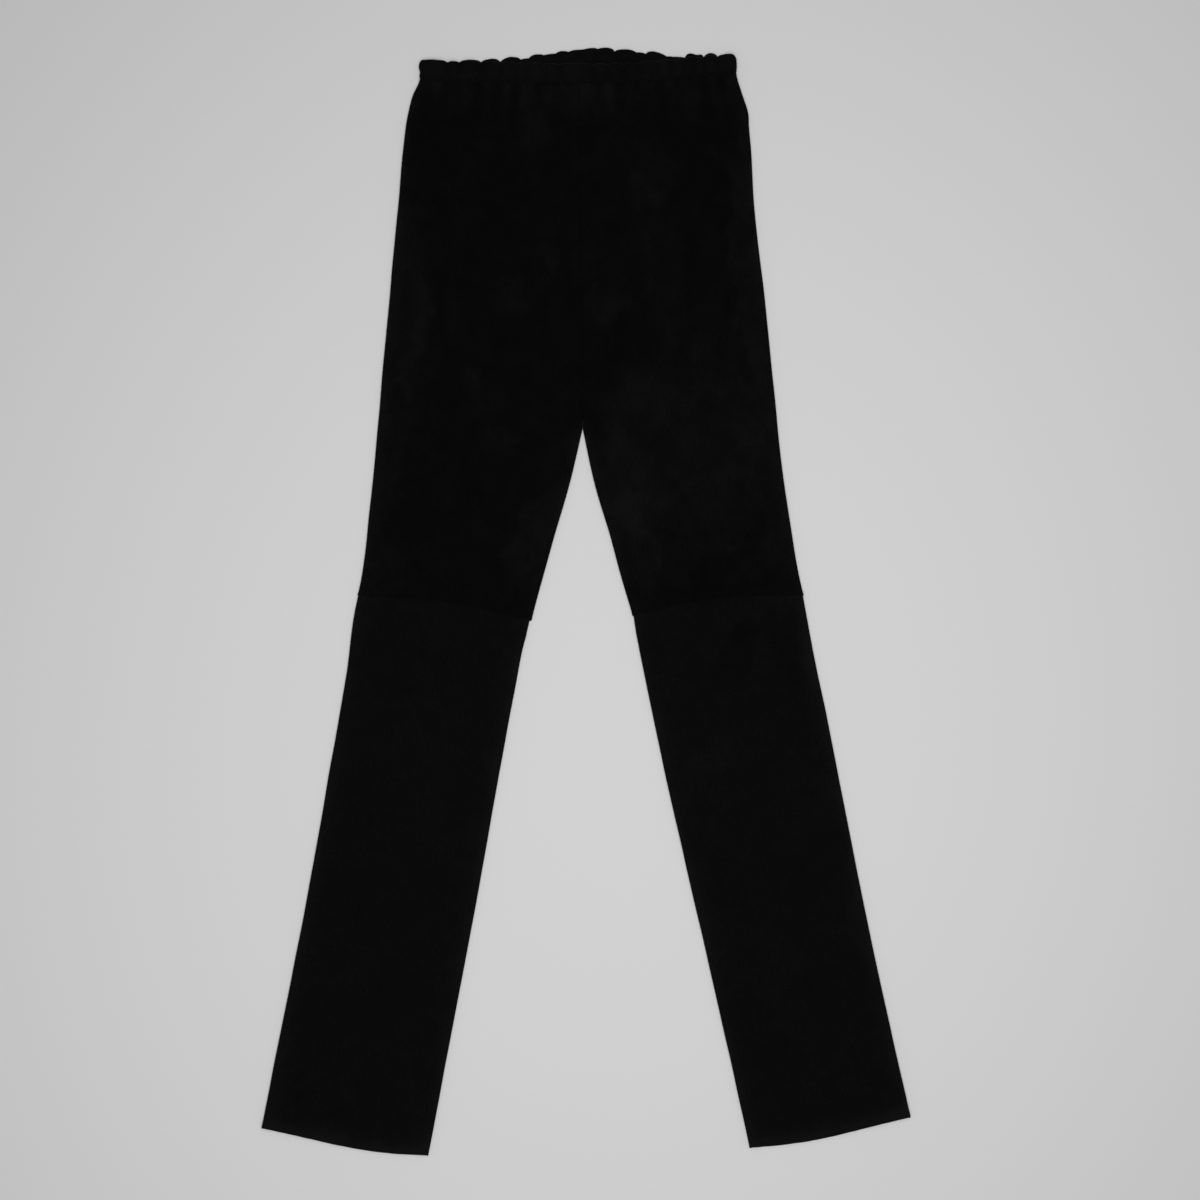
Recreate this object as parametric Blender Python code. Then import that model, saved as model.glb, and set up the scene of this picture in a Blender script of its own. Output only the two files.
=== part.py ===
"""Pull-on skinny trousers of black suede, lying flat on their back.

Metres, +Z up, the surface they lie on at z = 0. The waist is towards +Y, the hems towards -Y.
Right and left are the wearer's, so the right leg lies at -X.

The garment is cut as an upper front and back and a lower front and back for each leg, joined at
the knee, with an elasticated waistband in a front and a back length. Each piece is a wall of its
own: a grid of sections, each running from the side seam to the inner edge, which is the centre
seam above the crotch and the inseam below it. The back panels lie on the surface, the front
panels lie on the back panels, and both roll up to half height where they meet.
"""

import math
from bisect import bisect_right
from collections import namedtuple

import bmesh
import bpy
import numpy as np

# Suede, and what is sewn to what
WALL = 0.0012
SEAM_GAP = 0.0003
FRONT_REST = 0.0034      # top of a front panel where it lies on the back panel
EDGE_HALF = 0.0022       # half the height of a side seam or inseam, over its allowances
EDGE_REACH = 0.0030      # how far in from the seam the rolled edge reaches
EDGE_TURNS = (0, 45, 90)  # degrees round the rolled edge, from the seam to the top
ALLOWANCE = 0.0120       # where the swelling over the allowances has died away
CENTRE_RIDGE = 0.0005    # rise of the front along the centre seam
HEM_STEP = 0.0012        # the front's raw hem ends this much above the back's

# Waistband, a casing of suede turned over elastic
BAND_WALL = 0.0030
BAND_HEIGHT = 0.0190
BAND_EDGE = 0.0033       # half the height, and the reach, of its rolled side edge
BAND_SWELL = 0.0012      # how far a pucker of the front stands above its notches
WAIST_RIGHT = -0.1550
WAIST_LEFT = 0.1402
CENTRE_SEAM = -0.0074    # where the centre seams meet the band
PLEAT = 0.0010           # the panels' soft pleats below the band, each way
PLEAT_REACH = 0.0700     # how far down they reach
PLEAT_FADE = 0.25        # share of a panel's middle over which they rise from each of its seams

# Top of the waistband: the front dips in the middle and the back rises there.
WaistPoint = namedtuple("WaistPoint", "x front back")
WAIST_LINE = [
    WaistPoint(WAIST_RIGHT, 0.5035, 0.5035),
    WaistPoint(-0.140, 0.5023, 0.5036),
    WaistPoint(-0.098, 0.5013, 0.5038),
    WaistPoint(-0.060, 0.5002, 0.5070),
    WaistPoint(-0.018, 0.4992, 0.5120),
    WaistPoint(0.020, 0.4992, 0.5150),
    WaistPoint(0.054, 0.5010, 0.5132),
    WaistPoint(0.083, 0.5038, 0.5078),
    WaistPoint(0.108, 0.5062, 0.5092),
    WaistPoint(0.128, 0.5074, 0.5091),
    WaistPoint(WAIST_LEFT, 0.5090, 0.5090),
]

# Notches between the puckers of the elastic, uneven as elastic pulls them: where, how deep below
# the waist line, and how far below it the pucker to the left of the notch (towards +X) stays
Notch = namedtuple("Notch", "x depth sag")
BACK_NOTCHES = [
    Notch(WAIST_RIGHT, 0.0015, 0.0005),
    Notch(-0.1288, 0.0030, 0.0017),
    Notch(-0.1180, 0.0028, 0.0004),
    Notch(-0.0980, 0.0033, 0.0005),
    Notch(-0.0800, 0.0041, 0.0004),
    Notch(-0.0611, 0.0039, 0.0031),
    Notch(-0.0535, 0.0034, 0.0006),
    Notch(-0.0398, 0.0022, 0.0018),
    Notch(-0.0285, 0.0023, 0.0005),
    Notch(-0.0170, 0.0019, 0.0008),
    Notch(-0.0020, 0.0008, 0.0002),
    Notch(0.0104, 0.0015, 0.0007),
    Notch(0.0262, 0.0043, 0.0021),
    Notch(0.0462, 0.0043, 0.0040),
    Notch(0.0550, 0.0047, 0.0009),
    Notch(0.0745, 0.0028, 0.0021),
    Notch(0.0915, 0.0032, -0.0004),
    Notch(0.1005, 0.0006, 0.0013),
    Notch(0.1090, 0.0043, 0.0001),
    Notch(0.1218, 0.0032, 0.0006),
    Notch(WAIST_LEFT, 0.0072, 0),
]
FRONT_NOTCHES = [
    Notch(WAIST_RIGHT, 0.0024, 0.0005),
    Notch(-0.1290, 0.0026, 0.0010),
    Notch(-0.1182, 0.0026, 0.0002),
    Notch(-0.0984, 0.0028, 0.0006),
    Notch(-0.0800, 0.0026, 0.0003),
    Notch(-0.0650, 0.0028, 0.0010),
    Notch(-0.0560, 0.0024, 0.0002),
    Notch(-0.0400, 0.0020, 0.0008),
    Notch(-0.0250, 0.0016, 0.0002),
    Notch(0.0060, 0.0016, 0.0005),
    Notch(0.0190, 0.0022, 0.0001),
    Notch(0.0350, 0.0026, 0.0008),
    Notch(0.0480, 0.0022, 0.0002),
    Notch(0.0660, 0.0026, 0.0004),
    Notch(0.0780, 0.0020, 0.0010),
    Notch(0.0915, 0.0028, 0),
    Notch(0.1005, 0.0012, 0.0016),
    Notch(0.1090, 0.0038, 0.0002),
    Notch(0.1218, 0.0028, 0.0004),
    Notch(WAIST_LEFT, 0.0068, 0),
]
NOTCHES = {"front": FRONT_NOTCHES, "back": BACK_NOTCHES}
PUCKER_SIDE = 0.07       # share of a pucker's width over which each of its sides rises steeply
PUCKER_STEEP = 0.45      # share of its height that its sides rise there, and not in its arch

# Sections across a panel. Height is the top of the front in mid-panel, bow is how far the
# section's middle arches towards the waist, and fold is 1 where the inner edge is the inseam. Skew
# raises the half of the section next to the side seam and lowers the other half.
Section = namedtuple("Section", "side_x side_y inner_x inner_y height bow fold skew", defaults=(0,))
RIGHT_THIGH = [
    Section(-0.1545, 0.4845, CENTRE_SEAM, 0.4853, 0.0056, 0, 0),
    Section(-0.1561, 0.4797, -0.0073, 0.4760, 0.0053, 0, 0),
    Section(-0.1606, 0.4708, -0.0072, 0.4653, 0.0048, 0, 0),
    Section(-0.1657, 0.4523, -0.0070, 0.4473, 0.0040, 0, 0),
    Section(-0.1703, 0.4193, -0.0066, 0.4173, 0.0036, 0, 0),
    Section(-0.1749, 0.3643, -0.0059, 0.3643, FRONT_REST, 0, 0),
    Section(-0.1822, 0.2893, -0.0050, 0.2893, FRONT_REST, 0, 0),
    Section(-0.1890, 0.2153, -0.0041, 0.2153, FRONT_REST, 0, 0),
    Section(-0.1927, 0.1743, -0.0036, 0.1723, FRONT_REST, 0, 0),
    Section(-0.1938, 0.1611, -0.0035, 0.1603, FRONT_REST, 0, 1),
    Section(-0.1975, 0.1173, -0.0151, 0.1108, FRONT_REST, 0, 1),
    Section(-0.2022, 0.0756, -0.0293, 0.0616, FRONT_REST, 0.001, 1),
    Section(-0.2093, 0.0198, -0.0467, -0.0007, FRONT_REST, 0.005, 1),
    Section(-0.2122, 0.0053, -0.0513, -0.0184, 0.0040, 0.006, 1),
]
LEFT_THIGH = [
    Section(0.1391, 0.4900, CENTRE_SEAM, 0.4853, 0.0056, 0, 0),
    Section(0.1405, 0.4837, -0.0073, 0.4760, 0.0053, 0, 0),
    Section(0.1447, 0.4708, -0.0072, 0.4653, 0.0048, 0, 0),
    Section(0.1505, 0.4523, -0.0070, 0.4473, 0.0040, 0, 0),
    Section(0.1511, 0.4393, -0.0068, 0.4343, 0.0038, 0, 0),
    Section(0.1528, 0.4193, -0.0066, 0.4173, 0.0036, 0, 0),
    Section(0.1560, 0.3643, -0.0059, 0.3643, FRONT_REST, 0, 0),
    Section(0.1644, 0.2893, -0.0050, 0.2893, FRONT_REST, 0, 0),
    Section(0.1721, 0.2153, -0.0041, 0.2153, FRONT_REST, 0, 0),
    Section(0.1762, 0.1743, -0.0036, 0.1723, FRONT_REST, 0, 0),
    Section(0.1774, 0.1611, -0.0035, 0.1603, FRONT_REST, 0, 1),
    Section(0.1824, 0.1173, 0.0072, 0.1108, FRONT_REST, 0, 1),
    Section(0.1885, 0.0756, 0.0216, 0.0616, FRONT_REST, 0.001, 1),
    Section(0.1980, 0.0198, 0.0381, 0.0023, FRONT_REST, 0.007, 1),
    Section(0.2015, 0.0053, 0.0431, -0.0137, 0.0040, 0.008, 1),
]
RIGHT_CALF = [
    RIGHT_THIGH[-1],
    Section(-0.2152, -0.0102, -0.0558, -0.0323, FRONT_REST, 0.005, 1),
    Section(-0.2225, -0.0639, -0.0675, -0.0881, FRONT_REST, 0.002, 1),
    Section(-0.2417, -0.1755, -0.0880, -0.2002, FRONT_REST, 0, 1),
    Section(-0.2616, -0.2871, -0.1083, -0.3118, FRONT_REST, 0, 1),
    Section(-0.2837, -0.3987, -0.1297, -0.4239, FRONT_REST, -0.001, 1),
    Section(-0.3020, -0.4898, -0.1469, -0.5152, FRONT_REST, -0.0045, 1, 0.0009),
]
LEFT_CALF = [
    LEFT_THIGH[-1],
    Section(0.2037, -0.0092, 0.0459, -0.0287, FRONT_REST, 0.006, 1),
    Section(0.2138, -0.0639, 0.0574, -0.0869, FRONT_REST, 0.002, 1),
    Section(0.2258, -0.1197, 0.0696, -0.1450, FRONT_REST, 0.0005, 1),
    Section(0.2364, -0.1755, 0.0829, -0.2044, FRONT_REST, 0, 1),
    Section(0.2587, -0.2871, 0.1086, -0.3160, FRONT_REST, 0, 1),
    Section(0.2826, -0.3987, 0.1341, -0.4280, FRONT_REST, -0.001, 1),
    Section(0.3012, -0.4797, 0.1516, -0.5080, FRONT_REST, -0.0040, 1, 0.0008),
]

# The lower panels start a little inside the ends of the knee seam, at the side and the inseam.
RIGHT_KNEE_STEPS = (0.0003, 0.0016)
LEFT_KNEE_STEPS = (0.0004, 0.0006)


def waist_top(x, face):
    """Y of the waistband's top line at x, on the front or the back: smooth through its points."""
    places = [point.x for point in WAIST_LINE]
    heights = [getattr(point, face) for point in WAIST_LINE]
    slopes = np.gradient(heights, places)
    i = min(max(bisect_right(places, x) - 1, 0), len(places) - 2)
    width = places[i + 1] - places[i]
    t = min(max((x - places[i]) / width, 0.0), 1.0)
    return float(
        heights[i] * (1 + 2 * t) * (1 - t) ** 2
        + width * slopes[i] * t * (1 - t) ** 2
        + heights[i + 1] * t**2 * (3 - 2 * t)
        + width * slopes[i + 1] * t**2 * (t - 1)
    )


def waist_seam(x, face):
    return waist_top(x, face) - BAND_HEIGHT


def pucker(x, face):
    """(How deep the band's edge is cut at x, how full the pucker is there from 0 to 1)."""
    notches = NOTCHES[face]
    for left, right in zip(notches, notches[1:]):
        if x <= right.x:
            break
    share = min(max((x - left.x) / (right.x - left.x), 0.0), 1.0)
    steep = (1 - math.exp(-share / PUCKER_SIDE)) * (1 - math.exp((share - 1) / PUCKER_SIDE))
    fullness = math.sin(math.pi * share)
    risen = PUCKER_STEEP * steep + (1 - PUCKER_STEEP) * fullness
    depth = left.depth + (right.depth - left.depth) * share
    return depth * (1 - risen) + left.sag * risen, fullness


def grid_mesh(name, outer, inner):
    """A closed wall between two grids of points, outer and inner, of the same size."""
    rows, columns = len(outer), len(outer[0])
    mesh = bmesh.new()
    skins = [[[mesh.verts.new(p) for p in row] for row in skin] for skin in (outer, inner)]
    for skin in skins:
        for i in range(rows - 1):
            for j in range(columns - 1):
                mesh.faces.new((skin[i][j], skin[i][j + 1], skin[i + 1][j + 1], skin[i + 1][j]))
    front, back = skins
    rim = [(0, j) for j in range(columns)]
    rim += [(i, columns - 1) for i in range(1, rows)]
    rim += [(rows - 1, j) for j in range(columns - 2, -1, -1)]
    rim += [(i, 0) for i in range(rows - 2, 0, -1)]
    for (i, j), (k, m) in zip(rim, rim[1:] + rim[:1]):
        mesh.faces.new((front[i][j], front[k][m], back[k][m], back[i][j]))
    bmesh.ops.triangulate(mesh, faces=mesh.faces)
    bmesh.ops.recalc_face_normals(mesh, faces=mesh.faces)
    data = bpy.data.meshes.new(name)
    mesh.to_mesh(data)
    mesh.free()
    return data


SHARP_ANGLE = math.radians(40)  # an edge that turns more than this is drawn sharp


def add_piece(name, outer, inner, material):
    data = grid_mesh(name, outer, inner)
    data.materials.append(material)
    data.shade_smooth()
    data.set_sharp_from_angle(angle=SHARP_ANGLE)
    piece = bpy.data.objects.new(name, data)
    bpy.context.scene.collection.objects.link(piece)


def rolled_edge(face, degrees, half, rise, reach, wall):
    """The rolled edge at one turn, as (distance from the seam, z) outside and inside the wall."""
    turn = math.radians(degrees)
    outer = (reach - reach * math.cos(turn), rise * math.sin(turn))
    inner = (reach - (reach - wall) * math.cos(turn), (rise - wall) * math.sin(turn))
    if face == "front":
        return [(distance, half + SEAM_GAP / 2 + z) for distance, z in (outer, inner)]
    return [(distance, half - SEAM_GAP / 2 - z) for distance, z in (outer, inner)]


def flat_wall(face, top, distance):
    """The same pair where the wall lies flat: the front's top is given, the back is on the floor."""
    if face == "front":
        return [(distance, top), (distance, top - WALL)]
    return [(distance, 0.0), (distance, WALL)]


def panel_columns(fractions):
    """Columns across a panel, as (which edge it is measured from, turn or fraction)."""
    side = [("side", turn) for turn in EDGE_TURNS]
    inner = [("inner", turn) for turn in reversed(EDGE_TURNS)]
    return [*side, *(("middle", f) for f in (0.0, *fractions, 1.0)), *inner]


def pleat(x, y, fraction, face):
    """Height that the soft pleats under the band add to the front where the band is at x."""
    fade = min(max(1 - (waist_seam(x, face) - y) / PLEAT_REACH, 0.0), 1.0)
    fullness = pucker(x, face)[1]
    at_seams = min(1.0, fraction / PLEAT_FADE, (1 - fraction) / PLEAT_FADE)
    return PLEAT * (2 * fullness - 1) * fade * at_seams


def section_pair(face, section, column, length, waist):
    """(Distance along the section, z) of one column, outside and inside the wall."""
    kind, value = column
    half = max(EDGE_HALF, section.height / 2)
    if kind == "middle":
        distance = ALLOWANCE + value * (length - 2 * ALLOWANCE)
        top = section.height
        if waist:
            x = waist.side_x + (waist.inner_x - waist.side_x) * distance / length
            top += pleat(x, section.side_y, value, face)
        return flat_wall(face, top, distance)
    if kind == "side" or section.fold:
        pair = rolled_edge(face, value, half, half - SEAM_GAP / 2, EDGE_REACH, WALL)
    else:
        distance = EDGE_REACH * (1 - math.cos(math.radians(value)))
        pair = flat_wall(face, section.height + CENTRE_RIDGE, distance)
    if kind == "side":
        return pair
    return [(length - distance, z) for distance, z in pair]


def panel_rows(face, sections, columns, steps=(0.0, 0.0)):
    """Outer and inner grids of one panel. Its ends stop half a seam gap short, or at the hem."""
    from_waist = sections[0].inner_x == CENTRE_SEAM
    waist = sections[0] if from_waist else None
    hem_step = HEM_STEP if face == "front" else 0.0
    outer, inner = [], []
    for section in sections:
        run_x = section.inner_x - section.side_x
        run_y = section.inner_y - section.side_y
        length = math.hypot(run_x, run_y)
        up = math.copysign(1.0, run_x) / length
        step_side, step_inner = steps if section is sections[0] else (0.0, 0.0)
        open_length = length - step_side - step_inner - SEAM_GAP / 2
        drawn_up = 0.0
        if section is sections[0]:
            drawn_up = -SEAM_GAP / 2
        elif section is sections[-1]:
            drawn_up = SEAM_GAP / 2 if from_waist else hem_step
        for grid, side in ((outer, 0), (inner, 1)):
            row = []
            for column in columns:
                distance, z = section_pair(face, section, column, open_length, waist)[side]
                share = (step_side + distance) / length
                arch = section.bow * math.sin(math.pi * share)
                arch += section.skew * math.sin(2 * math.pi * share)
                x = section.side_x + run_x * share - arch * run_y * up
                y = section.side_y + run_y * share + arch * run_x * up + drawn_up
                if section is waist:
                    y = waist_seam(x, face) + drawn_up
                row.append((x, y, z))
            grid.append(row)
    return outer, inner


# Shares of a panel's middle that hold a column
LOWER_COLUMNS = (0.25, 0.5, 0.75)
UPPER_BACK_COLUMNS = tuple(k / 18 for k in range(1, 18))
COLUMN_SPARE = 0.02      # a pleat's column stays this far from the middle's own ends


def upper_columns(thigh, face):
    """The back's columns are evenly spaced. The front has one on every notch and crest above."""
    if face == "back":
        return UPPER_BACK_COLUMNS
    notches = [notch.x for notch in FRONT_NOTCHES]
    crests = [(a + b) / 2 for a, b in zip(notches, notches[1:])]
    width = abs(thigh.inner_x - thigh.side_x)
    towards_inner = math.copysign(1.0, thigh.inner_x - thigh.side_x)
    found = []
    for x in notches + crests:
        distance = (x - thigh.side_x) * towards_inner
        share = (distance - ALLOWANCE) / (width - 2 * ALLOWANCE)
        if COLUMN_SPARE < share < 1 - COLUMN_SPARE:
            found.append(share)
    return sorted(found)


def make_leg(side, thigh, calf, knee_steps, material):
    for face in ("front", "back"):
        grids = panel_rows(face, thigh, panel_columns(upper_columns(thigh[0], face)))
        add_piece(f"upper_{face}_{side}", *grids, material)
        grids = panel_rows(face, calf, panel_columns(LOWER_COLUMNS), knee_steps)
        add_piece(f"lower_{face}_{side}", *grids, material)


# Up the waistband: share of its height, share of its full thickness there, and how far in from
# its corner each side edge lies
BandRow = namedtuple("BandRow", "share thickness right_in left_in")
BAND_ROWS = [
    BandRow(0.00, 0.80, 0.0005, 0.0011),
    BandRow(0.20, 1.00, 0.0002, 0.0009),
    BandRow(0.40, 1.00, 0.0006, 0.0006),
    BandRow(0.75, 1.00, -0.0005, 0.0009),
    BandRow(0.94, 0.78, 0.0008, 0.0016),
    BandRow(1.00, 0.45, 0.0020, 0.0030),
]
LOBE_SHARES = (0, 0.12, 0.35, 0.65, 0.88)   # shares of a pucker's width that hold a column
BAND_END = BAND_EDGE + 0.0034   # how far in from its corner the band's flat part starts
BAND_SPARE = 0.0010      # a pucker's column stays this far inside the flat part


def band_columns(face):
    """X of every column across the band's flat part."""
    notches = NOTCHES[face]
    columns = [
        left.x + (right.x - left.x) * share
        for left, right in zip(notches, notches[1:])
        for share in LOBE_SHARES
    ]
    first = WAIST_RIGHT + BAND_END
    last = WAIST_LEFT - BAND_END
    inside = [x for x in columns if first + BAND_SPARE < x < last - BAND_SPARE]
    return [first, *inside, last]


def band_y(face, x, share):
    """Y of the band at x and at a share of its height."""
    bottom = waist_seam(x, face) + SEAM_GAP / 2
    return bottom + (waist_top(x, face) - pucker(x, face)[0] - bottom) * share


def band_z(face, x, thickness):
    """Z of the band's two sides at x, outside and inside: the back's is flat, the front's swells."""
    if face == "back":
        return 0.0, BAND_WALL * thickness
    bottom = BAND_WALL + SEAM_GAP
    swell = BAND_SWELL * (pucker(x, face)[1] - 0.5)
    return bottom + (BAND_WALL + swell) * thickness, bottom


def make_band(face, material):
    outer, inner = [], []
    for row in BAND_ROWS:
        rise = (BAND_EDGE - SEAM_GAP / 2) * (row.thickness if face == "front" else 1.0)
        wall = BAND_WALL * row.thickness
        edges = [rolled_edge(face, turn, BAND_EDGE, rise, BAND_EDGE, wall) for turn in EDGE_TURNS]
        right = [[(WAIST_RIGHT + row.right_in + reach, z) for reach, z in edge] for edge in edges]
        left = [[(WAIST_LEFT - row.left_in - reach, z) for reach, z in edge] for edge in edges]
        middle = [[(x, z) for z in band_z(face, x, row.thickness)] for x in band_columns(face)]
        for grid, side in ((outer, 0), (inner, 1)):
            column = [pair[side] for pair in (*right, *middle, *reversed(left))]
            grid.append([(x, band_y(face, x, row.share), z) for x, z in column])
    add_piece(f"waistband_{face}", outer, inner, material)


SUEDE_COLOUR = (0.010, 0.010, 0.010, 1)
SUEDE_ROUGHNESS = 0.95


def suede():
    material = bpy.data.materials.new("black_suede")
    material.use_nodes = True
    shader = material.node_tree.nodes["Principled BSDF"]
    shader.inputs["Base Color"].default_value = SUEDE_COLOUR
    shader.inputs["Roughness"].default_value = SUEDE_ROUGHNESS
    shader.inputs["Metallic"].default_value = 0.0
    return material


def main():
    for old in list(bpy.data.objects):
        bpy.data.objects.remove(old, do_unlink=True)
    black = suede()
    make_leg("right", RIGHT_THIGH, RIGHT_CALF, RIGHT_KNEE_STEPS, black)
    make_leg("left", LEFT_THIGH, LEFT_CALF, LEFT_KNEE_STEPS, black)
    make_band("front", black)
    make_band("back", black)


main()
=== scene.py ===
"""The looks of the black suede skinny trousers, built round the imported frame.

Metres, in the frame's own axes: +Z up, the floor at z = 0, the waist towards +Y and the hems
towards -Y. Right and left are the wearer's, so the right leg lies at -X.

Every piece of the cut is a thin shell of suede on the form of its solid: a fine grid of rows
down the leg and columns from the side seam to the inner edge, with the seams, gathers, creases
and nap laid on it from the tables below.
"""

import math
from collections import namedtuple

import bmesh
import bpy
import numpy as np
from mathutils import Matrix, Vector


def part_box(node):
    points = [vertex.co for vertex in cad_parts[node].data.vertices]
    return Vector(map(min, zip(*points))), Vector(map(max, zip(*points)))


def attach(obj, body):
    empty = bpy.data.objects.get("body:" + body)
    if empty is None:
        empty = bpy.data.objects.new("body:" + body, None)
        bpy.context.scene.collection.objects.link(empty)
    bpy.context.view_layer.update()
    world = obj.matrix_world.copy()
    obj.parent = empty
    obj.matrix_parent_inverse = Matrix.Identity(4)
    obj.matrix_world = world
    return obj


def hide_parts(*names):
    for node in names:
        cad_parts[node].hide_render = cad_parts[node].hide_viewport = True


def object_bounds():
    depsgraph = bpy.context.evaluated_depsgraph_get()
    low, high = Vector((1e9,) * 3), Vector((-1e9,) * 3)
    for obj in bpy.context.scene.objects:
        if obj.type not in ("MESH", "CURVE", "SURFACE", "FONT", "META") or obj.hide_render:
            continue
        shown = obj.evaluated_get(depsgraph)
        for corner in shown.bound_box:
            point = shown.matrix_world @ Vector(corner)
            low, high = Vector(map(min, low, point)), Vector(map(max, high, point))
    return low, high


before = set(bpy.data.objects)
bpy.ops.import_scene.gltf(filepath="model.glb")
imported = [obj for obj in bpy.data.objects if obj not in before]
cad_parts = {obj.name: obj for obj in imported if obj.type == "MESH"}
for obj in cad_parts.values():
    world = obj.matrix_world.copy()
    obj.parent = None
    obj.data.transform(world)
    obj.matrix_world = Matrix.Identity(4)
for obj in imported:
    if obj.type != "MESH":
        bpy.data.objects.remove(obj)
CAD_LOW, CAD_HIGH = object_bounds()

MM = 0.001


def table(columns, *rows):
    """Rows of numbers, each with its named columns."""
    return [columns(*row) for row in rows]


def measured(columns, *rows):
    """The same for lengths, which are written in millimetres."""
    return [columns(*(length * MM for length in row)) for row in rows]


# ---- the cut, as the solids have it
WALL = 1.2 * MM
SEAM_GAP = 0.06 * MM  # edges that are sewn together lie this close
FRONT_REST = 3.4 * MM  # top of a front panel where it lies on the back panel
EDGE_HALF = 2.2 * MM  # half the height of a rolled side seam or inseam
EDGE_REACH = 3.0 * MM  # how far in from the edge the roll starts
ALLOWANCE = 12 * MM  # how far in the seam allowances still lift the suede
HEM_STEP = 1.2 * MM  # the front's raw hem ends this much above the back's

BAND_WALL = 3.0 * MM
BAND_HEIGHT = 19 * MM
BAND_EDGE = 3.3 * MM  # reach of the band's rolled side edges
BAND_CUT = 0.355  # length of suede that is gathered into each half of the band
WAIST_RIGHT = -0.155
WAIST_LEFT = 0.1402
CENTRE_SEAM = -0.0074

WaistPoint = namedtuple("WaistPoint", "x front back")
WAIST_LINE = measured(
    WaistPoint,
    (-155, 503.5, 503.5),
    (-140, 502.3, 503.6),
    (-98, 501.3, 503.8),
    (-60, 500.2, 507),
    (-18, 499.2, 512),
    (20, 499.2, 515),
    (54, 501, 513.2),
    (83, 503.8, 507.8),
    (108, 506.2, 509.2),
    (128, 507.4, 509.1),
    (140, 509, 509),
)

# Notches between the puckers: where, how deep below the waist line, and how far below it the
# pucker to the left of the notch (towards +X) stays
Notch = namedtuple("Notch", "x depth sag")
BACK_NOTCHES = measured(
    Notch,
    (-155, 1.5, 0.5),
    (-128.8, 3, 1.7),
    (-118, 2.8, 0.4),
    (-98, 3.3, 0.5),
    (-80, 4.1, 0.4),
    (-61.1, 3.9, 3.1),
    (-53.5, 3.4, 0.6),
    (-39.8, 2.2, 1.8),
    (-28.5, 2.3, 0.5),
    (-17, 1.9, 0.8),
    (-2, 0.8, 0.2),
    (10.4, 1.5, 0.7),
    (26.2, 4.3, 2.1),
    (46.2, 4.3, 4),
    (55, 4.7, 0.9),
    (74.5, 2.8, 2.1),
    (91.5, 3.2, -0.4),
    (100.5, 0.6, 1.3),
    (109, 4.3, 0.1),
    (121.8, 3.2, 0.6),
    (140.2, 7.2, 0),
)
FRONT_NOTCHES = measured(
    Notch,
    (-155, 2.4, 0.5),
    (-129, 2.6, 1),
    (-118.2, 2.6, 0.2),
    (-98.4, 2.8, 0.6),
    (-80, 2.6, 0.3),
    (-65, 2.8, 1),
    (-56, 2.4, 0.2),
    (-40, 2, 0.8),
    (-25, 1.6, 0.2),
    (6, 1.6, 0.5),
    (19, 2.2, 0.1),
    (35, 2.6, 0.8),
    (48, 2.2, 0.2),
    (66, 2.6, 0.4),
    (78, 2, 1),
    (91.5, 2.8, 0),
    (100.5, 1.2, 1.6),
    (109, 3.8, 0.2),
    (121.8, 2.8, 0.4),
    (140.2, 6.8, 0),
)
NOTCHES = {"front": FRONT_NOTCHES, "back": BACK_NOTCHES}
PUCKER_SIDE = 0.07  # share of a pucker's width over which each of its sides rises
PUCKER_ARCH = 0.55  # share of its height that is one round arch, and not these steep sides
PUCKER_FULL = 0.8  # how sharply its fullness drops towards its sides

# Where a row starts at the side and ends at the inner edge, how it is bent on the way, and the
# height of the front there
Section = namedtuple(
    "Section", "side_x side_y inner_x inner_y bow skew height", defaults=(0.0, 0.0, FRONT_REST)
)
RIGHT_THIGH = measured(
    Section,
    (-154.5, 484.5, -7.4, 485.3, 0, 0, 5.6),
    (-156.1, 479.7, -7.3, 476, 0, 0, 5.3),
    (-160.6, 470.8, -7.2, 465.3, 0, 0, 4.8),
    (-165.7, 452.3, -7, 447.3, 0, 0, 4),
    (-170.3, 419.3, -6.6, 417.3, 0, 0, 3.6),
    (-174.9, 364.3, -5.9, 364.3),
    (-182.2, 289.3, -5, 289.3),
    (-189, 215.3, -4.1, 215.3),
    (-192.7, 174.3, -3.6, 172.3),
    (-193.8, 161.1, -3.5, 160.3),
    (-197.5, 117.3, -15.1, 110.8),
    (-202.2, 75.6, -29.3, 61.6, 1),
    (-209.3, 19.8, -46.7, -0.7, 5),
    (-212.2, 5.3, -51.3, -18.4, 6, 0, 4),
)
LEFT_THIGH = measured(
    Section,
    (139.1, 490, -7.4, 485.3, 0, 0, 5.6),
    (140.5, 483.7, -7.3, 476, 0, 0, 5.3),
    (144.7, 470.8, -7.2, 465.3, 0, 0, 4.8),
    (150.5, 452.3, -7, 447.3, 0, 0, 4),
    (151.1, 439.3, -6.8, 434.3, 0, 0, 3.8),
    (152.8, 419.3, -6.6, 417.3, 0, 0, 3.6),
    (156, 364.3, -5.9, 364.3),
    (164.4, 289.3, -5, 289.3),
    (172.1, 215.3, -4.1, 215.3),
    (176.2, 174.3, -3.6, 172.3),
    (177.4, 161.1, -3.5, 160.3),
    (182.4, 117.3, 7.2, 110.8),
    (188.5, 75.6, 21.6, 61.6, 1),
    (198, 19.8, 38.1, 2.3, 7),
    (201.5, 5.3, 43.1, -13.7, 8, 0, 4),
)
CROTCH_ROWS = {"right": 9, "left": 10}  # the section whose inner edge is at the crotch
RIGHT_CALF = RIGHT_THIGH[-1:] + measured(
    Section,
    (-215.2, -10.2, -55.8, -32.3, 5),
    (-222.5, -63.9, -67.5, -88.1, 2),
    (-241.7, -175.5, -88, -200.2),
    (-261.6, -287.1, -108.3, -311.8),
    (-283.7, -398.7, -129.7, -423.9, -1),
    (-302, -489.8, -146.9, -515.2, -4.5, 0.9),
)
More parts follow.
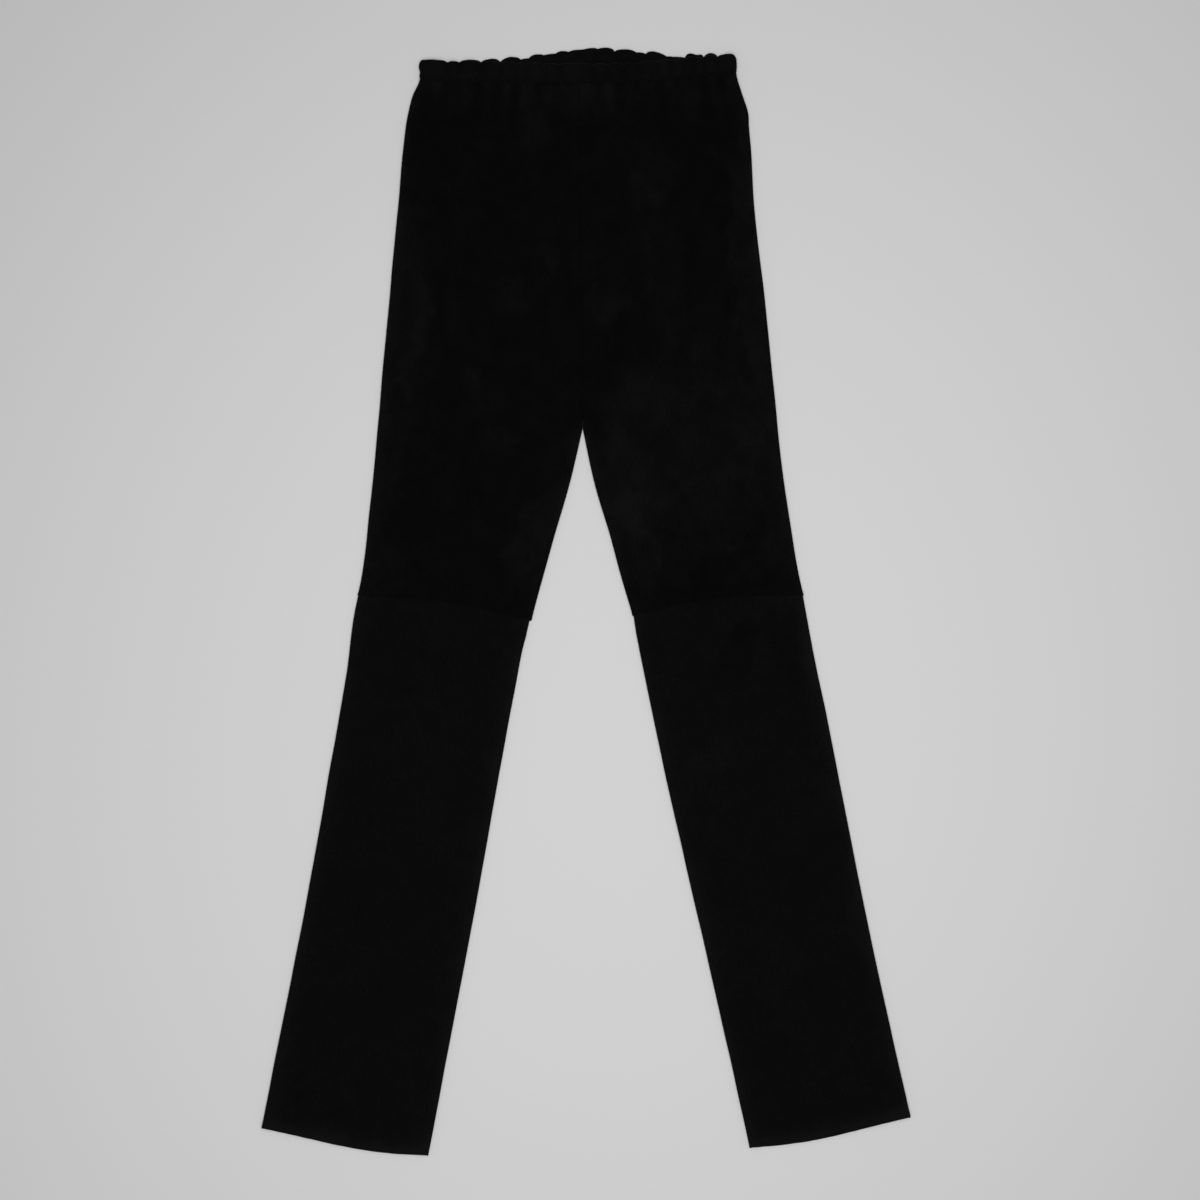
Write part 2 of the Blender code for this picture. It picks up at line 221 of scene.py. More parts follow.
LEFT_CALF = LEFT_THIGH[-1:] + measured(
    Section,
    (203.7, -9.2, 45.9, -28.7, 6),
    (213.8, -63.9, 57.4, -86.9, 2),
    (225.8, -119.7, 69.6, -145, 0.5),
    (236.4, -175.5, 82.9, -204.4),
    (258.7, -287.1, 108.6, -316),
    (282.6, -398.7, 134.1, -428, -1),
    (301.2, -479.7, 151.6, -508, -4, 0.8),
)
PANEL_SECTIONS = {
    ("upper", "right"): RIGHT_THIGH,
    ("upper", "left"): LEFT_THIGH,
    ("lower", "right"): RIGHT_CALF,
    ("lower", "left"): LEFT_CALF,
}
KNEE_STEPS = {"right": (0.0003, 0.0016), "left": (0.0004, 0.0006)}  # at the side and the inseam
KNEE_STEP_REACH = 0.015
KNEE_CORNER = 0.6 * MM  # how far a panel's corners at the knee seam are rounded off
KNEE_CORNER_REACH = {"upper": 2.2 * MM, "lower": 1.2 * MM}
BACK_SEAM_SHIFT = 0.5 * MM  # the back's seams lie this far from the front's

# ---- creases, laid one by one
# A crease runs from (x0, y0) to (x1, y1), bowed sideways by bend, and fades out at both ends.
# Depth is how far it sinks, and on the back how far it stands off the floor.
Crease = namedtuple("Crease", "x0 y0 x1 y1 bend width depth")
FRONT_CREASES = measured(
    Crease,
    # from the crotch up over the left thigh, where the nap changes too
    (0, 172, 70, 286, -10, 7.5, 1.3),
    (10, 150, 92, 214, -6, 6.5, 1),
    (14, 128, 85, 150, -5, 6, 0.8),
    (30, 84, 98, 95, 4, 7, 0.6),
    # and over the right
    (-10, 168, -81, 251, 8, 7.5, 1.1),
    (-20, 146, -104, 190, 6, 6.5, 0.9),
    (-26, 116, -92, 134, 4, 6, 0.7),
    # belly and hips
    (-140, 404, -62, 376, 6, 10, 0.8),
    (-158, 332, -98, 312, 4, 9, 0.6),
    (132, 398, 66, 362, -6, 10, 0.8),
    (148, 318, 88, 286, -5, 9, 0.7),
    (-50, 334, 40, 320, 5, 12, 0.6),
    # thighs
    (-176, 92, -112, 62, 6, 9, 0.8),
    (166, 84, 104, 50, -5, 9, 0.9),
    (-150, 228, -118, 142, 4, 11, 0.5),
    (138, 236, 122, 150, -4, 11, 0.6),
    # knees
    (-196, -6, -120, -21, -3, 4, 0.8),
    (-196, -36, -130, -52, 5, 7, 0.8),
    (-66, -42, -126, -66, -4, 6.5, 0.8),
    (-205, -78, -148, -86, 4, 8, 0.6),
    (188, -22, 128, -48, -5, 7.5, 1),
    (62, -40, 118, -64, 5, 6.5, 0.8),
    (198, -86, 142, -106, -4, 8, 0.7),
    (78, 30, 160, 22, 6, 7.5, 0.8),
    # calves and ankles
    (-226, -196, -170, -214, 4, 10, 0.5),
    (-104, -262, -160, -284, -4, 9, 0.6),
    (-262, -372, -196, -388, 5, 9, 0.6),
    (-152, -432, -206, -446, -4, 8, 0.6),
    (224, -184, 166, -206, -4, 10, 0.6),
    (100, -256, 160, -286, 5, 9, 0.6),
    (258, -344, 196, -364, -4, 9, 0.7),
    (148, -408, 214, -432, 5, 8, 0.6),
)
BACK_CREASES = measured(
    Crease,
    (-12, 166, -98, 214, 10, 8, 0.9),
    (-22, 140, -118, 158, 9, 7.5, 1),
    (-30, 108, -110, 106, 7, 7, 0.8),
    (6, 164, 88, 208, -10, 8, 0.9),
    (18, 136, 104, 150, -8, 7.5, 1),
    (26, 104, 98, 98, -6, 7, 0.8),
    (-150, 352, -80, 300, 8, 10, 0.7),
    (136, 346, 72, 296, -8, 10, 0.7),
    (-206, 12, -128, -6, 6, 6, 1),
    (-62, -18, -134, -28, -6, 6, 1),
    (-204, -30, -122, -52, 6, 6.5, 0.9),
    (-70, -72, -140, -86, -5, 7, 0.7),
    (194, 10, 120, -4, -6, 6, 1),
    (54, -14, 126, -30, 6, 6, 1),
    (196, -34, 112, -58, -6, 6.5, 0.9),
    (66, -70, 134, -90, 5, 7, 0.7),
    (-228, -232, -160, -250, 5, 9, 0.6),
    (-126, -366, -200, -388, -5, 9, 0.6),
    (230, -226, 156, -252, -5, 9, 0.6),
    (128, -360, 206, -392, 5, 9, 0.6),
)

# Soft pleats that run from the band's gathers into the panels: where, how long, how far they
# lean sideways on the way down, how wide and how deep
Pleat = namedtuple("Pleat", "x length lean width depth")
PLEATS = measured(
    Pleat,
    (-130, 52, -8, 3.4, 1.7),
    (-118, 26, -3, 2.6, 1.1),
    (-99, 64, -9, 3.8, 1.8),
    (-81.5, 30, -2, 2.8, 1.1),
    (-65, 70, -5, 3.6, 1.7),
    (-45, 38, -1, 3, 1.4),
    (-27, 28, 1, 2.6, 1),
    (13, 34, 1, 2.8, 1.1),
    (30, 58, 3, 3.4, 1.7),
    (47, 30, 2, 2.8, 1.1),
    (68, 74, 6, 3.6, 1.8),
    (85, 36, 5, 3, 1.3),
    (108, 60, 9, 3.6, 1.8),
    (123, 34, 6, 3, 1.4),
)

# Patches where the nap is brushed lighter (above 0) or darker (below 0): their middle, half
# their width and length in millimetres, how far they lean, in degrees, and their tone
NapPatch = namedtuple("NapPatch", "x y half_x half_y turn tone")
NAP_PATCHES = table(
    NapPatch,
    # right thigh: rubbed along the side and inside the thigh, dark between
    (-182, 222, 26, 172, -7, 1.4),
    (-157, 225, 13, 60, -4, 0.8),
    (-45, 60, 18, 58, -23, 1.7),
    (-51, 430, 13, 24, 0, 1.2),
    (-69, 283, 20, 15, 8, 1.2),
    (-39, 319, 9, 17, 0, 1.1),
    (-104, 195, 11, 20, 6, 1.1),
    (-80, 145, 18, 12, 0, 1.0),
    (-122, 260, 9, 26, -6, 0.8),
    (-157, 282, 13, 22, 0, 0.7),
    (-185, 28, 19, 28, -10, 0.9),
    (-24, 130, 28, 20, 0, 0.7),
    # left thigh: light from the crotch to the knee, in streaks above
    (88, 140, 76, 92, 6, 1.1),
    (34, 118, 28, 70, 18, 1.2),
    (42, 52, 27, 58, 17, 1.2),
    (174, 130, 20, 120, 7, 1.1),
    (128, 120, 40, 80, 8, 0.5),
    (62, 190, 24, 20, 0, 0.7),
    (38, 186, 20, 40, -20, 0.6),
    (146, 178, 14, 38, 7, 0.7),
    (106, 168, 14, 18, 0, -0.7),
    (110, 34, 78, 26, 8, 0.6),
    (143, 430, 12, 30, 5, 0.9),
    (122, 235, 34, 50, 8, 0.7),
    (60, 395, 26, 34, 4, 1.3),
    (70, 305, 16, 78, 6, 1.0),
    (20, 278, 19, 19, 0, 1.3),
    (-6, 314, 14, 18, 0, 0.8),
    (149, 310, 13, 130, 7, 1.5),
    (30, 232, 13, 44, -25, -0.3),
    (120, 14, 52, 12, 12, -0.9),
    (118, 33, 22, 7, 48, -0.7),
    (146, 50, 17, 8, 0, -0.7),
    (-5, 462, 50, 22, 0, 0.7),
    # lower legs
    (140, -52, 18, 30, -6, -1.0),
    (150, -32, 16, 6, 0, -0.8),
    (114, -152, 27, 17, 20, 0.6),
    (187, -45, 12, 52, 12, -0.6),
    (212, -55, 9, 30, 12, 0.7),
    (254, -285, 12, 50, 14, 0.6),
    (108, -312, 10, 24, 14, 0.6),
    (-83, -162, 13, 24, -10, 0.7),
    (-66, -40, 22, 16, 10, 0.3),
    (205, -320, 16, 70, 14, -0.2),
    (-180, -330, 18, 80, -10, -0.2),
)
PATCH_FULL = 0.7  # share of a patch's radius where its tone is still full
PATCH_FADE = 0.5  # and the share over which it then fades
BACK_PATCHES = 0.5  # strength of the same patches on the back, where they are turned round
BACK_PATCH_SHIFT = 0.03  # and moved sideways
CALF_TONE = 1.35  # the lower panels' suede is a little lighter,
BAND_TONE = 1.7  # and so is the waistband's
YOKE_TONE = 1.3  # how much lighter the suede is next to the waistband
YOKE_REACH = 0.048
SEAM_PAINTED_SHADE = -0.4  # painted shade along the dip at the waist seam
SEAM_SHADE_REACH = {"panel": 1.5 * MM, "band": 1.2 * MM}
FOLD_PAINTED_SHADE = -1.9  # painted shade along the fold at the band's top, against the sheen on its rim
FOLD_SHADE_REACH = 0.9 * MM
CUT_EDGE_TONE = 1.6  # along the hem's raw edge
CUT_EDGE_REACH = 0.6 * MM
BLOTCH_TONE = 0.55
CREASE_PAINTED_SHADE = 280.0  # painted shade: how much darker a crease is painted, for each metre of its depth, and its side ridges painted lighter
PLEAT_PAINTED_SHADE = 650.0  # and painted shade in a pleat
PUCKER_PAINTED_LIGHT_AND_SHADE = 520.0  # painted light and shade: how much lighter the band is painted where a pucker stands high, and darker where low, for each metre of height
# Where the suede is lighter along the edges: rubbed nap, and on the rolled side and inner edges also
# painted sheen. How much, and how far in
EdgeTone = namedtuple("EdgeTone", "tone reach")
EDGE_WEAR_AND_SHEEN = {
    "upper": table(EdgeTone, (1.5, 0.0065), (0.8, 0.01)),
    "lower": table(EdgeTone, (1.5, 0.0065), (1.3, 0.014)),
}
HEM_RUB = EdgeTone(3.0, 0.011)
EDGE_WEAR_AND_SHEEN_EVEN = 0.7  # how much of the edges' lightening, wear and painted sheen, is even, where the rest comes and goes
HEM_RUB_EVEN = 1.0
YOKE_EVEN = 0.85

# ---- unevenness
# Soft waves of slack, frill or nap: their height, and how far apart they are across and along.
# A seed is added to theirs where the sides, halves or faces differ.
Waves = namedtuple("Waves", "height seed size_x size_y", defaults=(1.0,))
FRONT_SLACK = table(
    Waves,
    (0.45 * MM, 3, 0.058, 0.075),
    (0.16 * MM, 4, 0.019, 0.026),
    (0.05 * MM, 5, 0.007, 0.008),
)
BACK_SLACK = table(Waves, (0.25 * MM, 7, 0.05, 0.06))
PATCH_WANDER_X = table(Waves, (0.01, 11, 0.02, 0.024), (0.006, 18, 0.008, 0.009))
PATCH_WANDER_Y = table(Waves, (0.01, 12, 0.022, 0.018), (0.006, 19, 0.009, 0.008))
LIGHT_ISLANDS = table(Waves, (1.0, 14, 0.0115, 0.015), (0.4, 15, 0.005, 0.0065))
DARK_ISLANDS = table(Waves, (1.0, 16, 0.0135, 0.012), (0.4, 17, 0.0055, 0.005))
EDGE_TONE_WAVES = table(Waves, (0.3, 53, 0.012, 0.02))
YOKE_WAVES = table(Waves, (0.9, 57, 0.0095, 0.015))
# Along a seam or an edge only size_x is given
SIDE_WAVES = table(Waves, (0.28 * MM, 21, 0.034))
INSEAM_WAVES = table(Waves, (0.22 * MM, 31, 0.03))
SEAM_PULLS = table(Waves, (0.2 * MM, 0, 6.5 * MM), (0.1 * MM, 1, 3.1 * MM))
HEM_CURL = table(Waves, (0.35 * MM, 51, 0.03))
HEM_RAGS = table(Waves, (0.18 * MM, 61, 5.0 * MM))
BAND_FRILL = table(Waves, (0.16 * MM, 71, 2.6 * MM))
BAND_LEAN = table(Waves, (0.1, 0, 0.04))
BAND_WAVES = table(Waves, (0.36 * MM, 10, 4.4 * MM, 22 * MM), (0.12 * MM, 11, 2.2 * MM, 9 * MM))
STITCH_PULLS = table(Waves, (0.12 * MM, 12, 3.2 * MM))
BAND_CLOUDS = table(Waves, (0.5, 91, 0.014, 0.02))
SEED = {"right": 5, "left": 4, "front": 5, "back": 4, "upper": 7, "lower": 0}
PULL_SEED = {"right": 41, "left": 43}
BAND_SEED = {"front": 81, "back": 83}


# ---- small tools
def smooth(t):
    """0 to 1 as t goes from 0 to 1, with no corner at either end."""
    t = np.clip(t, 0.0, 1.0)
    return t * t * (3 - 2 * t)


def bump(t):
    """A soft peak of 1 at t = 0, all but gone by t = 2 either way."""
    return np.exp(-np.square(t))


NOISE_CELLS = 256


def soft_noise(x, y, size_x, size_y, seed):
    """Smooth noise from -1 to 1 over the plan, its bumps size_x and size_y apart."""
    grid = np.random.default_rng(seed).uniform(-1.0, 1.0, (NOISE_CELLS, NOISE_CELLS))
    u, v = x / size_x, y / size_y
    i, j = np.floor(u).astype(int), np.floor(v).astype(int)
    s, t = smooth(u - i), smooth(v - j)
    i, j, i_next, j_next = (k % NOISE_CELLS for k in (i, j, i + 1, j + 1))
    low = grid[i, j] * (1 - s) + grid[i_next, j] * s
    high = grid[i, j_next] * (1 - s) + grid[i_next, j_next] * s
    return low * (1 - t) + high * t


def waves(layers, x, y, seed=0):
    """Soft noise of several sizes, added up."""
    return sum(w.height * soft_noise(x, y, w.size_x, w.size_y, w.seed + seed) for w in layers)


Ridge = namedtuple("Ridge", "height place width")


def trough(across, ridge):
    """A soft trough, 1 deep, with a low ridge along both sides."""
    return bump(across) - ridge.height * bump((np.abs(across) - ridge.place) / ridge.width)


def column(rows, name):
    """One column of a table."""
    return np.array([getattr(row, name) for row in rows])


def hermite(knots, values, at, corner=None):
    """A smooth curve through values at uneven knots, with a corner at one of them if asked."""
    slopes = np.gradient(values, knots)
    i = np.clip(np.searchsorted(knots, at, side="right") - 1, 0, len(knots) - 2)
    width = knots[i + 1] - knots[i]
    chord = (values[i + 1] - values[i]) / width
    start, end = slopes[i], slopes[i + 1]
    if corner is not None:
        start = np.where(i == corner, chord, start)
        end = np.where(i + 1 == corner, chord, end)
    t = (at - knots[i]) / width
    return (
        values[i] * (1 + 2 * t) * (1 - t) ** 2
        + width * start * t * (1 - t) ** 2
        + values[i + 1] * t * t * (3 - 2 * t)
        + width * end * t * t * (t - 1)
    )


def refined(count, share=0.4):
    """Values from 0 to 1 that are closer together towards both ends."""
    even = np.linspace(0.0, 1.0, count)
    return (1 - share) * even + share * (0.5 - 0.5 * np.cos(np.pi * even))


# ---- waist and gathers
def waist_top(x, face):
    """Y of the waist line, where the band's puckers end."""
    places = column(WAIST_LINE, "x")
    return hermite(places, column(WAIST_LINE, face), np.clip(x, places[0], places[-1]))


def waist_seam(x, face):
    return waist_top(x, face) - BAND_HEIGHT


def pucker(x, face):
    """(How deep the band's edge is cut at x, how full the pucker is there from 0 to 1)."""
    notches = NOTCHES[face]
    places = column(notches, "x")
    i = np.clip(np.searchsorted(places, x, side="right") - 1, 0, len(places) - 2)
    share = np.clip((x - places[i]) / (places[i + 1] - places[i]), 0.0, 1.0)
    steep = (1 - np.exp(-share / PUCKER_SIDE)) * (1 - np.exp(-(1 - share) / PUCKER_SIDE))
    risen = (1 - PUCKER_ARCH) * steep + PUCKER_ARCH * np.sin(np.pi * share)
    depth = np.interp(x, places, column(notches, "depth"))
    sag = column(notches, "sag")[i]
    return depth * (1 - risen) + sag * risen, np.sin(np.pi * share) ** PUCKER_FULL


PLEAT_RIDGE = Ridge(0.45, 1.9, 0.8)
PLEAT_SPREAD = 0.8  # how much wider a pleat is at its lower end


def pleats(x, y, face):
    """Relief of the pleats below the band, which the back has in mirror image."""
    relief = np.zeros_like(x)
    below = waist_seam(x, face) - y
    mirror = 1.0 if face == "front" else -1.0
    for pleat in PLEATS:
        share = below / pleat.length
        aside = mirror * (x - CENTRE_SEAM) + CENTRE_SEAM - pleat.x - pleat.lean * share
        across = aside / (pleat.width * (1 + PLEAT_SPREAD * np.clip(share, 0, 1)))
        relief -= pleat.depth * trough(across, PLEAT_RIDGE) * (1 - smooth(share))
    return relief


# ---- relief and nap
CREASE_RIDGE = Ridge(0.4, 2.0, 0.9)
CREASE_FADE = 1.2  # how sharply a crease fades towards its ends
CREASE_START = 0.75  # share of its width where it starts,
CREASE_END = 1.25  # and where it ends
BACK_SINK = 0.1 * MM  # this much of the back's slack is pressed out by the floor
BACK_LIFT = 0.9 * MM  # the most that the back stands off the floor
ISLAND_EDGE = 0.3  # steps of noise over which an island of nap fades into the rest
LIGHT_FROM = 0.15
DARK_FROM = 0.2
DARK_SHARE = 0.8


def crease_relief(creases, x, y):
    """Relief of the creases, each narrower where it starts."""
    relief = np.zeros_like(x)
    for crease in creases:
        run_x, run_y = crease.x1 - crease.x0, crease.y1 - crease.y0
        length = math.hypot(run_x, run_y)
        along = ((x - crease.x0) * run_x + (y - crease.y0) * run_y) / length**2
        aside = ((y - crease.y0) * run_x - (x - crease.x0) * run_y) / length
        inside = np.clip(along, 0.0, 1.0)
        aside = aside - crease.bend * 4 * inside * (1 - inside)
        fade = np.sin(np.pi * inside) ** CREASE_FADE
        across = aside / (crease.width * (CREASE_START + (CREASE_END - CREASE_START) * inside))
        relief -= crease.depth * fade * trough(across, CREASE_RIDGE)
    return relief


def front_relief(x, y):
    """What the suede of the front adds to its resting height: creases, pleats and slack."""
    return crease_relief(FRONT_CREASES, x, y) + pleats(x, y, "front") + waves(FRONT_SLACK, x, y)


def back_lift(x, y):
    """How far the suede of the back stands off the floor."""
    lift = -crease_relief(BACK_CREASES, x, y) - pleats(x, y, "back")
    lift += waves(BACK_SLACK, x, y) - BACK_SINK
    return BACK_LIFT * np.tanh(np.maximum(lift, 0.0) / BACK_LIFT)


def nap_tone(x, y):
    """Tone of the listed nap patches, with uneven edges."""
    uneven_x = x + waves(PATCH_WANDER_X, x, y)
    uneven_y = y + waves(PATCH_WANDER_Y, x, y)
    tone = np.zeros_like(x)
    for patch in NAP_PATCHES:
        turn = math.radians(patch.turn)
        run_x, run_y = uneven_x / MM - patch.x, uneven_y / MM - patch.y
        across = (run_x * math.cos(turn) + run_y * math.sin(turn)) / patch.half_x
        along = (run_y * math.cos(turn) - run_x * math.sin(turn)) / patch.half_y
        tone += patch.tone * (1 - smooth((np.hypot(across, along) - PATCH_FULL) / PATCH_FADE))
    return tone


def blotches(x, y):
    """Uneven nap above the knees: small islands, a little lighter or darker, with clear edges."""
    light = smooth((waves(LIGHT_ISLANDS, x, y) - LIGHT_FROM) / ISLAND_EDGE)
    dark = smooth((waves(DARK_ISLANDS, x, y) - DARK_FROM) / ISLAND_EDGE)
    return BLOTCH_TONE * (light - DARK_SHARE * dark)


# ---- the panels
EDGE_TURNS = np.radians(np.linspace(0, 90, 8))
PANEL_COLUMNS = 74  # between the rolled edges
PANEL_ROWS = 185
ROW_CROWDING = 0.35  # how much closer the rows stand at both ends
SEAM_ROWS = np.array([0.3, 0.7, 1.2, 2.0, 3.0, 4.2]) * MM  # extra rows close to a seam
TUCK = 0.45 * MM  # how far a side seam is drawn in between its rolled edges
TUCK_TURN = math.radians(14)
WAIST_FADE = 0.055  # how far down the rows still follow the waist seam's curve
FOLD_REACH = 12 * MM  # over this much above the crotch the inner edge comes to be folded
# How far a panel's edges stand out at the knee seam, at the side and the inner edge
FLARE = {"upper": (0.7 * MM, 0.5 * MM), "lower": (0.14 * MM, 0.0)}
FLARE_REACH = 2.4 * MM
SEAM_RIDGE = 0.5 * MM  # swelling over a seam's pressed allowances
RIDGE_START = 2.5 * MM  # full from here
RIDGE_END = 7.0 * MM  # to here
RIDGE_FADE = 4.0 * MM
SEAM_GROOVE = 0.8 * MM
BACK_GROOVE = 0.48 * MM  # shallower, in the seams of the back
GROOVE_REACH = 1.1 * MM
PULL_START = 1.5 * MM  # pulls across a seam are full from here
PULL_END = 13 * MM  # and gone here
EDGE_FLAT = 6.5 * MM  # the seam allowances hold the suede at its full height up to here
RELIEF_START = 1.5 * MM  # creases and slack begin here, away from an edge,
RELIEF_FADE = 9 * MM  # and take this much to be full
WAIST_SEAM_TOP = 4.7 * MM  # both sides of the waist seam dip to this height on the front
WAIST_SEAM_REACH = {"panel": 2.6 * MM, "band": 1.1 * MM}
LAYER_GAP = 0.15 * MM  # the front's suede stays this far off the back's
CURL_REACH = 7 * MM  # the front's hem curls up off the back from here
HEM_REACH = 12 * MM  # and its raw edge is uneven from here
SHIFT_REACH = 6 * MM  # the back's rows make way for its knee seam from here


def section_distances(rows):
    """How far down its panel each section lies, along their middles."""
    middles = [((r.side_x + r.inner_x) / 2, (r.side_y + r.inner_y) / 2) for r in rows]
    return np.cumsum([0.0] + [math.dist(a, b) for a, b in zip(middles, middles[1:])])


def panel_stations(length):
    """Distances down a panel: even rows, with closer ones at both ends."""
    base = refined(PANEL_ROWS, ROW_CROWDING) * length
    return np.unique(np.concatenate([base, SEAM_ROWS, length - SEAM_ROWS]))


def beyond(distance, start, reach):
    """0 up to start, then rising to 1 over the reach."""
    return smooth((distance - start) / reach)


def seam_shape(away):
    """Relief beside a seam: a swelling over the pressed allowances, and the seam's own groove."""
    swelling = smooth(away / RIDGE_START) * (1 - beyond(away, RIDGE_END, RIDGE_FADE))
    return SEAM_RIDGE * swelling - SEAM_GROOVE * bump(away / GROOVE_REACH)


def edge_roll(reach, wall, turns):
    """How far in the outer and the inner skin lie at each turn of a rolled edge."""
    tuck = TUCK * bump(turns / TUCK_TURN)
    outer = reach * (1 - np.cos(turns)) + tuck
    inner = reach - (reach - wall) * np.cos(turns) + 0.5 * tuck
    return outer - outer.min(), inner - outer.min()


class Panel:
    """One panel. Its values are columns, with a number for each row.

    Distances run down the leg from the upper seam, and along a row from the side.
    """

    def __init__(self, face, side, half):
        self.face, self.side, self.half = face, side, half
        self.front, self.upper = face == "front", half == "upper"
        self.rows = PANEL_SECTIONS[half, side]
        knots = section_distances(self.rows)
        crotch = CROTCH_ROWS[side] if self.upper else None
        down = panel_stations(knots[-1])[:, None]
        self.curve = {}
        for name in Section._fields:
            corner = crotch if name.startswith("inner") else None
            self.curve[name] = hermite(knots, column(self.rows, name), down, corner)
        self.down, self.to_end = down, knots[-1] - down
        self.at_knee = self.to_end if self.upper else down
        # how far a row is folded at its inner edge: not at the centre seam, fully at the inseam
        self.folded = np.ones_like(down)
        if self.upper:
            self.folded = beyond(down, knots[crotch] - FOLD_REACH, FOLD_REACH)
        self.set_outline()
        self.set_columns()

    def set_outline(self):
        """Where the rows start and end: uneven, standing out at the knee seam, corners rounded."""
        down, curve, seed = self.down, self.curve, SEED[self.side]
        out_side = waves(SIDE_WAVES, down, 0 * down, seed + SEED[self.half])
        out_inner = waves(INSEAM_WAVES, down, np.ones_like(down), seed) * self.folded
        flare_side, flare_inner = FLARE[self.half]
        step_side, step_inner = KNEE_STEPS[self.side]
        flare = bump(self.at_knee / FLARE_REACH)
        near = np.clip(1 - self.at_knee / KNEE_CORNER_REACH[self.half], 0, 1)
        corner = 1 - np.sqrt(1 - np.square(near))
        above_step = 1.0 if self.upper else 0.0
        out_side += flare_side * flare - corner * (KNEE_CORNER + above_step * step_side)
        out_inner += flare_inner * flare - corner * (KNEE_CORNER + above_step * step_inner)
        outward = -1.0 if self.side == "right" else 1.0
        self.side_x = curve["side_x"] + outward * out_side
        inner_x = curve["inner_x"] - outward * out_inner
        if not self.front:
            inner_x = inner_x + BACK_SEAM_SHIFT * (1 - self.folded)
        self.run_x, self.run_y = inner_x - self.side_x, curve["inner_y"] - curve["side_y"]
        self.length = np.hypot(self.run_x, self.run_y)
        # the lower panels are narrower at the knee seam
        drawn_in = (1 - above_step) * (1 - np.clip(down / KNEE_STEP_REACH, 0, 1))
        self.start = step_side * drawn_in
        self.open_length = self.length - self.start - (step_inner * drawn_in + SEAM_GAP / 2)

    def set_columns(self):
        """How far along its row each point of the outer and the inner skin lies."""
        middle = refined(PANEL_COLUMNS + 2)[1:-1] * (self.open_length - 2 * EDGE_REACH)
        flat = EDGE_REACH * (1 - np.cos(EDGE_TURNS[::-1]))
        skins = []
        for roll in edge_roll(EDGE_REACH, WALL, EDGE_TURNS):
            end = self.folded * roll[::-1] + (1 - self.folded) * flat
            start = roll * np.ones_like(self.down)
            skins.append(np.hstack([start, EDGE_REACH + middle, self.open_length - end]))
        self.outer_at, self.inner_at = skins
        self.from_inner = self.open_length - self.outer_at

    def place(self, distance):
        """X and Y of the points this far along their rows."""
        curve, up = self.curve, np.sign(self.run_x) / self.length
        x = self.side_x + self.run_x * (self.start + distance) / self.length
        part = (x - curve["side_x"]) / (curve["inner_x"] - curve["side_x"])
        arch = curve["bow"] * np.sin(np.pi * part) + curve["skew"] * np.sin(2 * np.pi * part)
        x = x - arch * self.run_y * up
        y = curve["side_y"] + self.run_y * part + arch * self.run_x * up
        if self.upper:
            first = self.rows[0]
            first_y = first.side_y + (first.inner_y - first.side_y) * part
            y = y + (waist_seam(x, self.face) - first_y) * (1 - smooth(self.down / WAIST_FADE))
        return x, y

    def held(self, start, reach):
        """1 next to the side and a folded inner edge, then down to 0 over the reach."""
        inner = self.folded * (1 - beyond(self.from_inner, start, reach))
        return 1 - beyond(self.outer_at, start, reach), inner

    def knee_relief(self, x):
        """The front's relief at the knee seam: its shape, with small uneven pulls across it."""
        away = self.at_knee
        pulls = waves(SEAM_PULLS, x, 0 * x, PULL_SEED[self.side])
        return seam_shape(away) + pulls * (1 - smooth(away / PULL_END)) * smooth(away / PULL_START)

    def skins(self, x, y, thick):
        """Heights of the outer and the inner skin between the rolled edges."""
        at_side, at_inner = self.held(RELIEF_START, RELIEF_FADE)
        fade = (1 - at_side) * (1 - at_inner)
        lift, unfolded = back_lift(x, y), 1 - self.folded
        if not self.front:
            centre = unfolded * bump(self.from_inner / GROOVE_REACH)
            grooves = BACK_GROOVE * (centre + bump(self.at_knee / GROOVE_REACH) * fade)
            return lift * fade + grooves, lift * fade + WALL
        height = self.curve["height"]
        top = height + (2 * thick - height) * np.maximum(*self.held(EDGE_FLAT, ALLOWANCE - EDGE_FLAT))
        top = top + unfolded * seam_shape(self.from_inner)
        top = top + (front_relief(x, y) + self.knee_relief(x)) * fade
        if self.upper:
            top = top + (WAIST_SEAM_TOP - top) * bump(self.down / WAIST_SEAM_REACH["panel"])
        else:
            curl = HEM_CURL[0].height + waves(HEM_CURL, x, y)
            top = top + curl * fade * bump(self.to_end / CURL_REACH)
        top = np.maximum(top, lift + 2 * WALL + LAYER_GAP)
        return top, top - WALL

    def end_shift(self, x, y):
        """How far points move up the leg at sewn ends, which stop short, and at the raw hem."""
        shift = np.zeros_like(self.down)
        shift[0] = -SEAM_GAP / 2
        shift[-1] = SEAM_GAP / 2 if self.upper else 0.0
        if not self.front:
            shift = shift - BACK_SEAM_SHIFT * bump(self.at_knee / SHIFT_REACH)
        if self.upper:
            return shift
        step = (HEM_STEP if self.front else 0.0) + waves(HEM_RAGS, x, y, SEED[self.face])
        return shift + step * smooth(1 - self.to_end / HEM_REACH)

    def nap(self, x, y):
        """Tone of the nap: patches, rubbed edges, and what this half has of its own, with painted
        shade in the creases, pleats and waist seam and painted sheen along the edges.
        """
        if self.front:
            tone, creases = nap_tone(x, y), FRONT_CREASES
        else:
            tone, creases = BACK_PATCHES * nap_tone(x + BACK_PATCH_SHIFT, -y), BACK_CREASES
        # painted shade in the creases, and painted light on the ridges beside them
        tone = tone + CREASE_PAINTED_SHADE * crease_relief(creases, x, y)
        uneven = waves(EDGE_TONE_WAVES, x, y)
